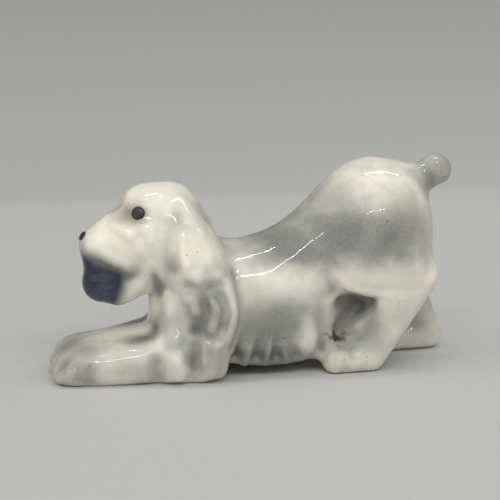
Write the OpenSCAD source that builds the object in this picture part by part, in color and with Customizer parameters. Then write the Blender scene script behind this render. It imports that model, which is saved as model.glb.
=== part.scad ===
// Miniature porcelain spaniel in a play bow, with a ball in its mouth.
// The nose points to -X, the left side to -Y, and the feet stand on Z = 0.
// Each cast piece is cut to the piece it is luted to, so that the two meet face to face.

/* [Trunk] */
// From the middle of the footprint forward to the chest
chest_reach = 16.7; // [15.5:0.1:18]
// Chest to the back of the rump
trunk_length = 45.8; // [43:0.2:48]
// Width across the ribs
trunk_width = 18.6; // [17:0.2:20.6]
// Height of the dip in the back
back_height = 20.8; // [19:0.1:23]
// Height of the top of the rump
rump_height = 33.3; // [31:0.1:36]
// Height of the belly between the forelegs
belly_height = 3.1; // [2.5:0.1:4.5]
// Height of the underside between the hind legs
rump_underside = 12.6; // [11:0.1:15]
// Thickness of the cast wall
wall = 2.4; // [1.6:0.1:3]
// Diameter of the kiln vent in the belly
vent_d = 2.6; // [1.5:0.1:4]
// How far the belly fringe hangs below the belly
fringe_drop = 1.4; // [0.6:0.1:2]
// Thickness of one lock of hair
lock_d = 3; // [2.4:0.1:3.8]
// Thickness of the web of clay between the hind legs
web_d = 9; // [8:0.1:9.2]

/* [Head] */
// From the middle of the footprint forward to the nose
nose_reach = 27.5; // [26.5:0.1:29]
// Nose to the back of the skull
head_length = 20.7; // [19:0.1:22.6]
// Width across the cheeks
head_width = 13; // [12:0.1:14.6]
// Height of the crown
crown_height = 30.3; // [28:0.1:33]
// Height of the underside of the cheeks
cheek_height = 14; // [13:0.1:15.6]
// How far the lower jaw hangs below the cheeks
jaw_drop = 3.2; // [2.4:0.1:4]
// Thickness of the lower jaw
jaw_d = 4.8; // [4:0.1:5.6]
// Thickness of the neck
neck_d = 13; // [11:0.1:15]
// Diameter of the ball in the mouth
ball_d = 6.7; // [6:0.1:7.6]
// Room between the ball and its seat
ball_gap = 0.03; // [0.01:0.01:0.1]
// Diameter of an eye
eye_d = 2; // [1.4:0.1:2.8]
// Diameter of the tip of the nose
nose_d = 1.8; // [1.4:0.1:2.4]
// How far the enamel dots stand proud
dot_relief = 0.35; // [0.2:0.05:0.6]

/* [Ears] */
// Root to tip of an ear
ear_length = 22; // [19:0.5:24]
// Width of an ear at its broadest
ear_width = 8.2; // [7:0.1:9.6]
// Thickness of an ear
ear_thickness = 3.8; // [3:0.1:5]

/* [Forelegs] */
// From the middle of the footprint forward to the left toes
left_paw_reach = 33.5; // [32:0.1:35]
// From the middle of the footprint forward to the right toes
right_paw_reach = 32.3; // [31:0.1:35]
// From the middle of the footprint forward to the elbows
elbow_reach = 9.5; // [8:0.1:11]
// Distance between the elbows
elbow_spread = 15.6; // [14:0.1:17]
// Distance between the middles of the forepaws
paw_spread = 11.6; // [10:0.1:13]
// Height of a forearm
foreleg_depth = 6.6; // [6:0.1:8]
// Width of a forearm
foreleg_width = 6.6; // [5.6:0.1:7.6]
// Width of a forepaw
paw_width = 7; // [6:0.1:8]
// Thickness of a toe
toe_d = 2.4; // [1.8:0.1:2.8]

/* [Hind legs] */
// From the middle of the footprint back to the knees
knee_setback = 15.3; // [14:0.1:17]
// From the middle of the footprint back to the hocks
hock_setback = 25.9; // [24.5:0.1:27.5]
// Height of the hocks
hock_height = 14.8; // [13.6:0.1:16.4]
// Distance between the hind feet
hind_spread = 12.8; // [11.4:0.1:14.4]
// Thickness of a thigh
thigh_d = 8.6; // [7.5:0.1:10]
// Thickness of a lower leg
shank_d = 5.2; // [4.2:0.1:6]
// From the middle of the footprint back to the left hind foot
left_foot_setback = 14.2; // [12.8:0.1:16]
// From the middle of the footprint back to the right hind foot
right_foot_setback = 27.3; // [25:0.1:28.2]
// Length of a hind foot
foot_length = 9; // [7.8:0.1:10]
// Width of a hind foot
foot_width = 5.8; // [5:0.1:6.8]
// Height of a hind foot
foot_height = 4.6; // [4:0.1:5.4]

/* [Tail] */
// From the middle of the footprint back to the tip of the tail
tail_reach = 32.1; // [30.5:0.1:33.6]
// Height of the tail's middle line
tail_height = 31; // [28.5:0.1:33]
// Thickness of the tail
tail_d = 4.8; // [3.8:0.1:5.6]

/* [Hidden] */

white_glaze = "ivory";
blue_glaze = "midnightblue";
black_enamel = "black";

// Facets round a skin, blended rings in each of its spans, and rings in a rounded end
sides = 20;
steps = 2;
dome_steps = 4;
// Facets of the small rounded forms, and the size from which they get the facets of a skin
ball_facets = 12;
big_bead = 4.5;

// Trunk: share of its length, rise of the back, lift of the belly, share of its width
trunk_shape = [
    [0.000, -0.70, 0.45, 0.10],
    [0.012, -0.48, 0.22, 0.34],
    [0.050, -0.22, 0.06, 0.62],
    [0.120, -0.05, 0.00, 0.86],
    [0.220, 0.00, 0.00, 0.98],
    [0.320, 0.00, 0.01, 1.00],
    [0.420, 0.10, 0.00, 0.96],
    [0.500, 0.28, 0.03, 0.91],
    [0.570, 0.52, 0.16, 0.88],
    [0.650, 0.81, 0.55, 0.90],
    [0.730, 0.97, 0.80, 0.95],
    [0.800, 1.00, 0.90, 0.98],
    [0.880, 0.95, 1.00, 0.92],
    [0.945, 0.78, 1.12, 0.74],
    [0.985, 0.45, 1.40, 0.46],
    [1.000, 0.15, 1.75, 0.12],
];

// Head: share of its length, heights of its top and bottom as shares, share of its width
head_shape = [
    [0.000, 0.440, 0.370, 0.10],
    [0.012, 0.497, 0.280, 0.34],
    [0.063, 0.558, 0.215, 0.52],
    [0.145, 0.632, 0.160, 0.62],
    [0.222, 0.718, 0.123, 0.68],
    [0.300, 0.822, 0.086, 0.76],
    [0.357, 0.908, 0.060, 0.83],
    [0.454, 0.975, 0.025, 0.92],
    [0.643, 1.000, 0.000, 1.00],
    [0.792, 0.957, 0.060, 0.97],
    [0.900, 0.828, 0.200, 0.80],
    [0.966, 0.660, 0.370, 0.50],
    [1.000, 0.550, 0.450, 0.15],
];

trunk_run = [for (s = trunk_shape) [
    s[0] * trunk_length - chest_reach,
    back_height + s[1] * (rump_height - back_height),
    belly_height + s[2] * (rump_underside - belly_height),
    s[3] * trunk_width / 2,
]];

head_run = [for (s = head_shape) [
    s[0] * head_length - nose_reach,
    cheek_height + s[1] * (crown_height - cheek_height),
    cheek_height + s[2] * (crown_height - cheek_height),
    s[3] * head_width / 2,
]];

// Ear: share of its length down, back and outward, shares of its thickness and of its width
ear_shape = [
    [0.00, 0.00, 0.00, 0.55, 0.50],
    [0.20, 0.07, 0.08, 0.85, 0.75],
    [0.45, 0.15, 0.15, 1.00, 0.95],
    [0.70, 0.23, 0.19, 1.00, 1.00],
    [0.88, 0.28, 0.20, 0.90, 0.85],
    [1.00, 0.30, 0.19, 0.60, 0.50],
];

// Clay between the forelegs: shares of the way from elbow to paw, of half the spread, of the height
between_shape = [
    [0.18, 1.30, 1.15],
    [0.55, 1.30, 1.05],
    [0.78, 1.25, 0.87],
    [0.88, 1.10, 0.70],
];

// Share of a limb's height that lies below the ground and is cut away
sole_sink = 0.12;

left = -1;
right = 1;

// Heights and widths of a skin at a share of its length, as [top, bottom, half width]
function column(shape, run, share) = [
    for (k = [1 : 3]) lookup(share, [for (i = [0 : len(run) - 1]) [shape[i][0], run[i][k]]])
];
// Half the width of such a column at one height
function half_width_at(c, z) = c[2] * sqrt(max(0, 1 - pow((2 * z - c[0] - c[1]) / (c[0] - c[1]), 2)));

function mix(a, b, t) = a + (b - a) * t;

// A place on the right side of the trunk or the head: shares of its length and of its height
function on_trunk(share, up, sink = 0) =
    let (c = column(trunk_shape, trunk_run, share), z = mix(c[1], c[0], up))
    [share * trunk_length - chest_reach, half_width_at(c, z) - sink, z];
function on_head(share, up, sink = 0) =
    let (c = column(head_shape, head_run, share), z = mix(cheek_height, crown_height, up))
    [share * head_length - nose_reach, half_width_at(c, z) - sink, z];

// The direction square to the right side of the head at such a place
function head_outward(share, up) =
    let (c = column(head_shape, head_run, share), p = on_head(share, up))
    [0, p[1] / pow(c[2], 2), 2 * (2 * p[2] - c[0] - c[1]) / pow(c[0] - c[1], 2)];

// Where the eyes and the nose lie, as shares of the head
head_height = crown_height - cheek_height;
eye_along = 0.41;
eye_up = 0.755;
nose_up = 0.49;

// A place on the outer face of the right ear: shares of its length and of its half width
ear_root = on_head(0.7, 0.83);
function ear_middle(share) = ear_root + ear_length * [
    lookup(share, [for (s = ear_shape) [s[0], s[1]]]),
    lookup(share, [for (s = ear_shape) [s[0], s[2]]]),
    -share,
];
function on_ear(share, across) =
    ear_middle(share) + [across * ear_width / 2, ear_thickness * 0.3, 0];

// Joints of the right limbs
shoulder = on_trunk(0.16, 0.52, foreleg_width / 2);
elbow = [-elbow_reach, elbow_spread / 2, foreleg_depth * 0.66];
hip = on_trunk(0.77, 0.55, thigh_d * 0.5);
knee = [knee_setback, hind_spread * 0.54, hock_height + thigh_d * 0.3];
hock = [hock_setback, hind_spread * 0.52, hock_height];

// Middle of the ball in the mouth
ball_seat = [ball_d * 0.53 - nose_reach, 0, cheek_height + ball_d * 0.11];

// Catmull-Rom blend of four neighbouring stations
function blend(a, b, c, d, t) =
    b + t / 2 * (c - a + t * (2 * a - 5 * b + 4 * c - d + t * (3 * (b - c) + d - a)));

function pick(list, i) = list[max(0, min(len(list) - 1, i))];

// A list of stations, with more of them blended in between
function eased(list) = [
    for (i = [0 : len(list) - 2], s = [0 : steps - 1])
        blend(pick(list, i - 1), list[i], list[i + 1], pick(list, i + 2), s / steps),
    list[len(list) - 1],
];

function unit(v) = v / norm(v);
function place(s) = [s[0], s[1], s[2]];

// An upright oval at a station of [x, top, bottom, half width]
function upright_ring(s) = [for (k = [0 : sides - 1]) let (a = 360 * k / sides)
    [s[0], s[3] * cos(a), (s[1] + s[2]) / 2 + (s[1] - s[2]) / 2 * sin(a)]];

// An oval square to the direction in which a limb runs
function limb_ring(middle, along, half_w, half_d) =
    let (side = unit([0, 1, 0] - along * along[1]), over = cross(along, side))
    [for (k = [0 : sides - 1]) let (a = 360 * k / sides)
        middle + half_w * cos(a) * side + half_d * sin(a) * over];

// One ring of the rounded end past a station
function dome_ring(s, along, reach, a) =
    limb_ring(place(s) + along * reach * sin(a), along, s[3] * cos(a), s[4] * cos(a));

// Rings through stations of [x, y, z, half width, half depth], with a rounded end at each end
function limb_rings(stations, first_dome, last_dome) =
    let (
        run = eased(stations),
        n = len(run) - 1,
        along = [for (i = [0 : n]) unit(place(run[min(n, i + 1)]) - place(run[max(0, i - 1)]))]
    )
    concat(
        [for (j = [dome_steps - 1 : -1 : 1]) dome_ring(run[0], along[0], -first_dome, 90 * j / dome_steps)],
        [for (i = [0 : n]) limb_ring(place(run[i]), along[i], run[i][3], run[i][4])],
        [for (j = [1 : dome_steps - 1]) dome_ring(run[n], along[n], last_dome, 90 * j / dome_steps)]
    );

// A station of a limb that lies on the ground: its sole is cut flat where it sinks below
function resting(p, half_w, top) = [p[0], p[1], top * (1 - sole_sink) / 2, half_w, top * (1 + sole_sink) / 2];

// A closed skin over rings of equal count
module skin(rings) {
    n = len(rings);
    polyhedron(
        points = [for (r = rings) each r],
        faces = concat(
            [[for (k = [0 : sides - 1]) k]],
            [for (i = [0 : n - 2], k = [0 : sides - 1]) let (m = (k + 1) % sides)
                [i * sides + k, (i + 1) * sides + k, (i + 1) * sides + m, i * sides + m]],
            [[for (k = [sides - 1 : -1 : 0]) (n - 1) * sides + k]]
        ),
        convexity = 6
    );
}

module body(run) skin([for (s = eased(run)) upright_ring(s)]);

module limb(stations, first_dome, last_dome) skin(limb_rings(stations, first_dome, last_dome));

module bead(p, d) translate(p) sphere(d = d, $fn = d > big_bead ? sides : ball_facets);

// A lock of hair, or any short rounded form between two places
module lock(p, q, d, e) hull() {
    bead(p, d);
    bead(q, e);
}

// The pieces are drawn on the right, and the left ones mirror them
module on_side(side) {
    if (side == right) children();
    else mirror([0, 1, 0]) children();
}

// Everything above the surface that the figure stands on
module above_ground() {
    reach = 3 * tail_reach;
    translate([-reach, -reach, 0]) cube([2 * reach, 2 * reach, reach]);
}

// Where a lock of the belly fringe starts and where it ends
fringe_count = 7;
function fringe_root(i) = on_trunk(mix(0.24, 0.49, i / (fringe_count - 1)), 0.36, lock_d * 0.4);
function fringe_tip(i) = let (root = fringe_root(i), lean = lock_d * (i % 2 == 0 ? 0.2 : -0.15))
    [root[0] + lean, root[1] * 0.82, belly_height - fringe_drop + lock_d * 0.45];

// Everything on the right of the middle
module right_half() {
    reach = 3 * tail_reach;
    translate([-reach, 0, -reach]) cube([2 * reach, reach, 2 * reach]);
}

// Locks that hang along one side of the belly, run together at their tips, with a round lobe behind
module side_fringe() {
    for (i = [0 : fringe_count - 1]) lock(fringe_root(i), fringe_tip(i), lock_d, lock_d * 0.9);
    for (i = [1 : fringe_count - 1]) lock(fringe_tip(i - 1), fringe_tip(i), lock_d * 0.86, lock_d * 0.86);
    lobe_d = lock_d * 1.8;
    lobe_top = on_trunk(0.515, 0.33, lobe_d * 0.4);
    lobe_low = [lobe_top[0], lobe_top[1] * 0.85, belly_height - fringe_drop * 0.7 + lobe_d / 2];
    lock(lobe_top, lobe_low, lobe_d, lobe_d);
}

// The web of clay that closes the hollow between the belly and the hind legs
module leg_web() hull() {
    edge_d = web_d * 0.48;
    low = belly_height - fringe_drop + edge_d / 2;
    for (y = [-1, 1] * (web_d - edge_d) / 2) {
        bead([on_trunk(0.55, 0)[0], y, low + fringe_drop], edge_d);
        bead([left_foot_setback + foot_length * 0.25, y, low], edge_d);
        bead([knee_setback + thigh_d * 0.45, y, rump_underside], edge_d);
    }
}

module torso_form() {
    body(trunk_run);
    leg_web();
    for (side = [left, right]) on_side(side) side_fringe();
}

// The hollow that casting leaves, and the vent that lets its steam out in the kiln
module cast_hollow() {
    last = len(trunk_run) - 3;
    body([for (i = [3 : last]) trunk_run[i] + [0, -wall, wall, -wall]]);
    translate([on_trunk(0.38, 0)[0], 0, 0]) cylinder(d = vent_d, h = back_height / 2, $fn = sides);
}

// The low fill in the pocket behind the belly, as far as the hind leg leaves room for it
module pocket_fill(foot_setback) difference() {
    fill_d = web_d * 0.4;
    fill_height = belly_height - fringe_drop * 0.9 + fill_d / 2;
    lock([on_trunk(0.55, 0)[0], web_d * 0.46, fill_height],
        [left_foot_setback - foot_length * 0.15, web_d * 0.46, fill_height], fill_d, fill_d);
    hind_leg_form(foot_setback);
}

module torso() color(white_glaze) difference() {
    union() {
        torso_form();
        on_side(left) pocket_fill(left_foot_setback);
        on_side(right) pocket_fill(right_foot_setback);
    }
    cast_hollow();
}

module neck() {
    half = neck_d / 2;
    top = on_head(0.66, 0.58);
    limb([
        [top[0], 0, top[2], half * 0.92, half * 0.85],
        [top[0] + half * 0.3, 0, mix(top[2], back_height / 2, 0.35), half, half * 1.05],
        [top[0] + half * 0.75, 0, back_height * 0.62, half * 1.15, half * 1.05],
    ], half / 2, half / 2);
}

// Half of the muzzle, brow, cheek and lower jaw
module half_face() {
    lip = head_width * 0.3;
    lock(on_head(0.11, 0.24, lip * 0.45), on_head(0.34, 0.15, lip * 0.55), lip, lip * 1.15);
    lock(on_head(0.35, 0.76, lip * 0.3), on_head(0.47, 0.78, lip * 0.3), lip * 0.5, lip * 0.7);
    lock(on_head(0.46, 0.42, lip * 0.55), on_head(0.62, 0.27, lip * 0.55), lip * 1.3, lip * 1.3);
    jaw_middle = cheek_height - jaw_drop + jaw_d / 2;
    chin = [on_head(0.28, 0)[0], jaw_d * 0.14, jaw_middle];
    jaw_hinge = [on_head(0.5, 0)[0], jaw_d * 0.35, jaw_middle + jaw_d * 0.5];
    lock(chin, jaw_hinge, jaw_d, jaw_d * 1.05);
}

module head_form() {
    body(head_run);
    neck();
    for (side = [left, right]) on_side(side) half_face();
}

module ball(room = 0) translate(ball_seat) sphere(d = ball_d + 2 * room, $fn = 32);

module head() color(white_glaze) difference() {
    head_form();
    torso_form();
    ball(ball_gap);
}

module mouth_ball() color(blue_glaze) ball();

// A dot of enamel on the head: the cap of a sphere that is mostly sunk in it
module head_dot(middle, outward, d) difference() {
    sphere_d = (d * d / 4 + dot_relief * dot_relief) / dot_relief;
    bead(middle - unit(outward) * (sphere_d / 2 - dot_relief), sphere_d);
    head_form();
}

module nose_tip() color(black_enamel)
    head_dot([-nose_reach, 0, cheek_height + nose_up * head_height], [-1, 0, 0.5], nose_d);

module eye(side) color(black_enamel) on_side(side)
    head_dot(on_head(eye_along, eye_up), head_outward(eye_along, eye_up), eye_d);

module left_eye() eye(left);

module right_eye() eye(right);

module ear_form() {
    half_t = ear_thickness / 2;
    half_w = ear_width / 2;
    limb([for (s = ear_shape) concat(ear_middle(s[0]), [s[3] * half_t, s[4] * half_w])], half_t, half_t);
    wave = ear_width * 0.36;
    lock(on_ear(0.18, -0.35), on_ear(0.46, -0.5), wave * 0.8, wave);
    lock(on_ear(0.22, 0.2), on_ear(0.5, 0.35), wave * 0.8, wave);
    lock(on_ear(0.5, -0.4), on_ear(0.72, -0.1), wave, wave);
    lock(on_ear(0.54, 0.4), on_ear(0.76, 0.55), wave, wave * 0.9);
    lock(on_ear(0.76, -0.45), on_ear(0.95, -0.2), wave, wave * 0.8);
    lock(on_ear(0.8, 0.4), on_ear(0.97, 0.15), wave, wave * 0.8);
}

module ear(side, paw_reach) color(white_glaze) difference() {
    on_side(side) ear_form();
    torso_form();
    head_form();
    on_side(side) foreleg_form(paw_reach);
}

module left_ear() ear(left, left_paw_reach);

module right_ear() ear(right, right_paw_reach);

module foreleg_form(paw_reach) {
    paw = [-paw_reach, paw_spread / 2, 0];
    half_w = foreleg_width / 2;
    half_d = foreleg_depth / 2;
    limb([
        concat(shoulder, [half_w * 1.1, half_d * 1.4]),
        concat(mix(shoulder, elbow, 0.55), [half_w * 1.15, half_d * 1.35]),
        concat(elbow, [half_w * 1.1, half_d * 1.15]),
    ], half_d, half_d);
    front = [-chest_reach * 0.71, paw_spread * 0.48, foreleg_depth * 1.75];
    lock(front, front - foreleg_depth * [0.1, 0, 0.75], foreleg_width * 1.1, foreleg_width * 1.1);
    pad = mix(elbow, paw, 0.84);
    half_paw = paw_width / 2;
    limb([
        resting(elbow, half_w * 1.05, foreleg_depth * 1.18),
        resting(mix(elbow, paw, 0.3), half_w, foreleg_depth * 1.08),
        resting(mix(elbow, paw, 0.62), half_w * 0.95, foreleg_depth * 0.88),
        resting(pad, half_paw, foreleg_depth * 0.76),
        resting(paw + [toe_d, 0, 0], half_paw * 0.8, foreleg_depth * 0.6),
    ], half_d, toe_d * 0.7);
    toe_step = paw_width * 0.235;
    for (i = [-1.5 : 1 : 1.5]) {
        knuckle = [pad[0] - toe_d * 0.4, paw[1] + i * toe_step, foreleg_depth * 0.45];
        tip = [paw[0] + toe_d / 2 + abs(i) * toe_d * 0.2, paw[1] + i * toe_step, toe_d * 0.42];
        lock(knuckle, tip, toe_d * 1.15, toe_d);
    }
    // Feathering at the elbow, by how far each lock stands behind it
    for (back = [0.8, -0.2, -1.5]) {
        root = elbow + lock_d * [back, 0.35, 0.8];
        lock(root, root + lock_d * [0.05, 0.15, -1.7], lock_d * 1.15, lock_d);
    }
}

// The clay that fills the space between the forelegs, in which they meet at the middle
module between_forelegs() {
    reach = min(left_paw_reach, right_paw_reach);
    limb([for (s = between_shape)
        resting([-mix(elbow_reach, reach, s[0]), 0, 0], s[1] * paw_spread / 2, s[2] * foreleg_depth)
    ], foreleg_depth / 2, toe_d);
}

module foreleg(side, paw_reach) color(white_glaze) difference() {
    intersection() {
        on_side(side) {
            foreleg_form(paw_reach);
            between_forelegs();
        }
        above_ground();
        on_side(side) right_half();
    }
    torso_form();
    head_form();
}

module left_foreleg() foreleg(left, left_paw_reach);

module right_foreleg() foreleg(right, right_paw_reach);

module hind_leg_form(foot_setback) {
    hull() {
        bead(hip, thigh_d * 1.3);
        bead(knee, thigh_d);
        bead(hock, shank_d * 1.1);
    }
    half_foot = foot_width / 2;
    heel = [foot_setback + foot_length * 0.4, hind_spread / 2, foot_height / 2];
    toes = [foot_setback - foot_length / 2, hind_spread / 2, foot_height / 2];
    hull() {
        bead(hock, shank_d * 1.05);
        bead(mix(hock, knee, 0.36), shank_d);
        bead(heel, shank_d * 0.92);
    }
    limb([
        resting(heel, half_foot * 0.85, foot_height),
        resting(mix(heel, toes, 0.5), half_foot, foot_height),
        resting(mix(heel, toes, 0.85), half_foot * 0.9, foot_height * 0.85),
    ], shank_d * 0.4, foot_length * 0.15);
    for (i = [-1 : 1]) {
        side_step = hind_spread / 2 + i * foot_width * 0.3;
        knuckle = [mix(toes[0], heel[0], 0.3), side_step, foot_height * 0.6];
        tip = [toes[0] + toe_d / 2 + abs(i) * toe_d * 0.2, side_step, toe_d * 0.45];
        lock(knuckle, tip, toe_d * 1.1, toe_d);
    }
}

module hind_leg(side, foot_setback) color(white_glaze) difference() {
    intersection() {
        on_side(side) hind_leg_form(foot_setback);
        above_ground();
    }
    torso_form();
}

module left_hind_leg() hind_leg(left, left_foot_setback);

module right_hind_leg() hind_leg(right, right_foot_setback);

module tail() color(white_glaze) difference() {
    half = tail_d / 2;
    tail_root = on_trunk(0.88, 0.5)[0];
    limb([
        [tail_root, 0, tail_height - tail_d * 0.45, half * 1.25, half * 1.25],
        [mix(tail_root, tail_reach, 0.5), 0, tail_height - tail_d * 0.25, half, half],
        [tail_reach - half, 0, tail_height, half, half],
    ], half, half);
    torso_form();
}

torso();
head();
mouth_ball();
nose_tip();
left_eye();
right_eye();
left_ear();
right_ear();
left_foreleg();
right_foreleg();
left_hind_leg();
right_hind_leg();
tail();
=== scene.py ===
import math

import bpy
import numpy as np
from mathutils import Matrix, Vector
from mathutils.bvhtree import BVHTree
from mathutils.kdtree import KDTree


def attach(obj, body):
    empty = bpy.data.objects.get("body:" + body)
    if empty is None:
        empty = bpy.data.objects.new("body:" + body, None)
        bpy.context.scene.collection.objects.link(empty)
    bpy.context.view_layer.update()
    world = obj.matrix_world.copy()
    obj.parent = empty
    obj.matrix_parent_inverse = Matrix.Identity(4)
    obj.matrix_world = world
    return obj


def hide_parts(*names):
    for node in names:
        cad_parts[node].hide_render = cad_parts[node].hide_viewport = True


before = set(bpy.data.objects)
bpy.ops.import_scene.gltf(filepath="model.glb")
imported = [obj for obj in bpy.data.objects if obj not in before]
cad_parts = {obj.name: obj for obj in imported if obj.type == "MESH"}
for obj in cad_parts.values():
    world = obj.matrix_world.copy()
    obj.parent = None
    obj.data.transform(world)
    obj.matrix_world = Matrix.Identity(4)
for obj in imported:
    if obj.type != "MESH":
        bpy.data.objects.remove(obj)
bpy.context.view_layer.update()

MM = 0.001

# The cast pieces that are joined with slip, and the ball that is glazed in with them
CLAY_NODES = ["torso", "head", "left_ear", "right_ear", "left_foreleg", "right_foreleg",
              "left_hind_leg", "right_hind_leg", "tail", "mouth_ball"]

# Camera
CAMERA_AZIMUTH = math.radians(-12)
CAMERA_ELEVATION = math.radians(14.5)
CAMERA_DISTANCE = 330 * MM
PICTURE_WIDTH = 80 * MM
AIM_RIGHT = -0.46 * MM
AIM_UP = 18.4 * MM
CAMERA_NEAR = 10 * MM


def stand_camera():
    back = Vector((
        math.sin(CAMERA_AZIMUTH) * math.cos(CAMERA_ELEVATION),
        -math.cos(CAMERA_AZIMUTH) * math.cos(CAMERA_ELEVATION),
        math.sin(CAMERA_ELEVATION),
    ))
    right = Vector((math.cos(CAMERA_AZIMUTH), math.sin(CAMERA_AZIMUTH), 0))
    up = back.cross(right)
    bpy.ops.object.camera_add(location=back * CAMERA_DISTANCE)
    camera = bpy.context.object
    towards = right * AIM_RIGHT + up * AIM_UP - camera.location
    camera.rotation_euler = towards.to_track_quat("-Z", "Y").to_euler()
    camera.data.lens = camera.data.sensor_width * towards.length / PICTURE_WIDTH
    camera.data.clip_start = CAMERA_NEAR
    bpy.context.scene.camera = camera


# Hand tools: how pieces are picked up, joined, copied and finished
MERGE_DISTANCE = 0.0005 * MM


def choose(*objects):
    bpy.ops.object.select_all(action="DESELECT")
    for each in objects:
        each.select_set(True)
    bpy.context.view_layer.objects.active = objects[0]


def apply(piece, kind, **settings):
    """Adds a modifier with the given settings and applies it."""
    modifier = piece.modifiers.new(kind.title(), kind)
    for key, value in settings.items():
        setattr(modifier, key, value)
    choose(piece)
    bpy.ops.object.modifier_apply(modifier=modifier.name)


def join(*pieces):
    """Joins the pieces to the first of them and merges the points that lie on each other."""
    choose(*pieces)
    bpy.ops.object.join()
    bpy.ops.object.mode_set(mode="EDIT")
    bpy.ops.mesh.select_all(action="SELECT")
    bpy.ops.mesh.remove_doubles(threshold=MERGE_DISTANCE)
    bpy.ops.object.mode_set(mode="OBJECT")
    return pieces[0]


def largest_part(piece):
    """Keeps the largest of the loose parts of a piece and clears the others."""
    choose(piece)
    bpy.ops.object.mode_set(mode="EDIT")
    bpy.ops.mesh.select_all(action="SELECT")
    bpy.ops.mesh.separate(type="LOOSE")
    bpy.ops.object.mode_set(mode="OBJECT")
    found = sorted(bpy.context.selected_objects, key=lambda part: len(part.data.vertices))
    largest = found.pop()
    for crumb in found:
        bpy.data.objects.remove(crumb)
    return largest


def twin(piece):
    """A copy of a piece with its own mesh."""
    copy = piece.copy()
    copy.data = piece.data.copy()
    bpy.context.collection.objects.link(copy)
    return copy


def node_copy(name):
    """A copy of a cast piece as the frame has it."""
    copy = bpy.data.objects.new("clay_" + name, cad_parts[name].data.copy())
    bpy.context.collection.objects.link(copy)
    return copy


def oval_body(place, halves, turn, segments):
    """An oval with its place, half sizes and turn in its mesh."""
    bpy.ops.object.select_all(action="DESELECT")
    bpy.ops.mesh.primitive_uv_sphere_add(segments=segments, ring_count=segments // 2, radius=1)
    body = bpy.context.object
    body.location = place
    body.scale = halves
    body.rotation_euler = turn
    bpy.ops.object.transform_apply(location=True, rotation=True, scale=True)
    return body


def point_search(points):
    """A search tree over points."""
    search = KDTree(len(points))
    for index, point in enumerate(points):
        search.insert(point, index)
    search.balance()
    return search


def ramp(values, low, high):
    """0 up to the low value, 1 from the high value on."""
    return np.clip((values - low) / (high - low), 0, 1)


# Clay: one lump from copies of the cast pieces, remeshed so that the luted seams close
CLAY_GRAIN = 0.22 * MM
LUMP_SEGMENTS = 32
VENT_PLUG = ((0.7, 0, 4.9), (1.7, 1.7, 1.7), 0)

# Extra clay: the cast piece that it is put on, on both sides unless one is named, its place and half
# sizes in mm, and its lean about Y in degrees
LUMPS = [
    ("torso", (18.5, 3.4, 19.0), (10.0, 6.2, 8.0), 0),
    ("hind_leg", (17.0, 6.6, 17.0), (7.6, 4.4, 5.0), 12),
    ("torso", (2.0, 5.2, 3.8), (9.0, 2.8, 2.8), 0),
    ("torso", (6.8, 5.2, 5.8), (3.0, 3.0, 4.2), 0),
    ("torso", (12.4, 4.2, 3.2), (4.8, 3.0, 1.6), 0),
    ("torso", (10.0, 4.2, 7.0), (3.2, 3.2, 5.2), 0),
    ("left_hind_leg", (15.9, 4.0, 8.0), (2.6, 2.9, 5.4), 25),
    ("left_hind_leg", (25.7, 6.6, 13.8), (2.3, 2.7, 4.6), 32),
    ("left_hind_leg", (14.6, 3.0, 10.2), (4.2, 3.0, 3.2), 0),
    ("left_hind_leg", (17.4, 4.2, 10.4), (2.8, 3.0, 3.2), 0),
    ("tail", (28.2, 0.2, 29.6), (2.9, 2.2, 2.4), -25),
    ("tail", (30.4, 0.2, 30.6), (2.0, 2.2, 2.3), 0),
    ("head", (-14.4, 5.2, 21.5), (2.8, 3.2, 6.4), 0),
    ("head", (-9.3, 1.6, 23.6), (2.3, 3.2, 5.0), -33),
    ("torso", (-4.9, 7.0, 10.5), (2.8, 3.0, 6.5), -8),
    ("torso", (-13.0, 2.2, 9.0), (3.0, 3.6, 6.0), 0),
    ("foreleg", (-12.8, 7.2, 15.0), (1.9, 1.9, 2.4), 0),
    ("head", (-9.3, 4.6, 20.0), (3.4, 5.0, 8.5), -27),
    ("foreleg", (-21.0, 6.6, 2.6), (9.0, 3.4, 2.9), 0),
    ("foreleg", (-21.0, 4.0, 2.7), (11.0, 4.6, 3.9), -5),
    ("foreleg", (-28.0, 3.6, 2.2), (4.6, 4.6, 3.5), 0),
    ("foreleg", (-28.3, 1.2, 2.0), (4.4, 4.6, 3.0), 0),
]


def add_lump(place, halves, lean):
    return oval_body(Vector(place) * MM, Vector(halves) * MM, (0, math.radians(lean), 0), LUMP_SEGMENTS)


def lumps_on(name):
    """The extra clay that is put on one cast piece."""
    lumps = []
    for owner, (x, y, z), halves, lean in LUMPS:
        if name in (owner, "left_" + owner) and not owner.startswith("right_"):
            lumps.append(add_lump((x, -y, z), halves, lean))
        if name in (owner, "right_" + owner) and not owner.startswith("left_"):
            lumps.append(add_lump((x, y, z), halves, lean))
    return lumps


def knead():
    """The closed outer skin of all the clay, as one mesh."""
    clay = [node_copy(name) for name in CLAY_NODES]
    clay.append(add_lump(*VENT_PLUG))
    for name in CLAY_NODES:
        clay += lumps_on(name)
    lump = join(*clay)
    apply(lump, "REMESH", mode="VOXEL", voxel_size=CLAY_GRAIN)
    return largest_part(lump)


# Settling: each round draws a point this far towards its neighbours; weights are put on in levels
SETTLE_FACTOR = 0.5
WEIGHT_LEVELS = 100


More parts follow.
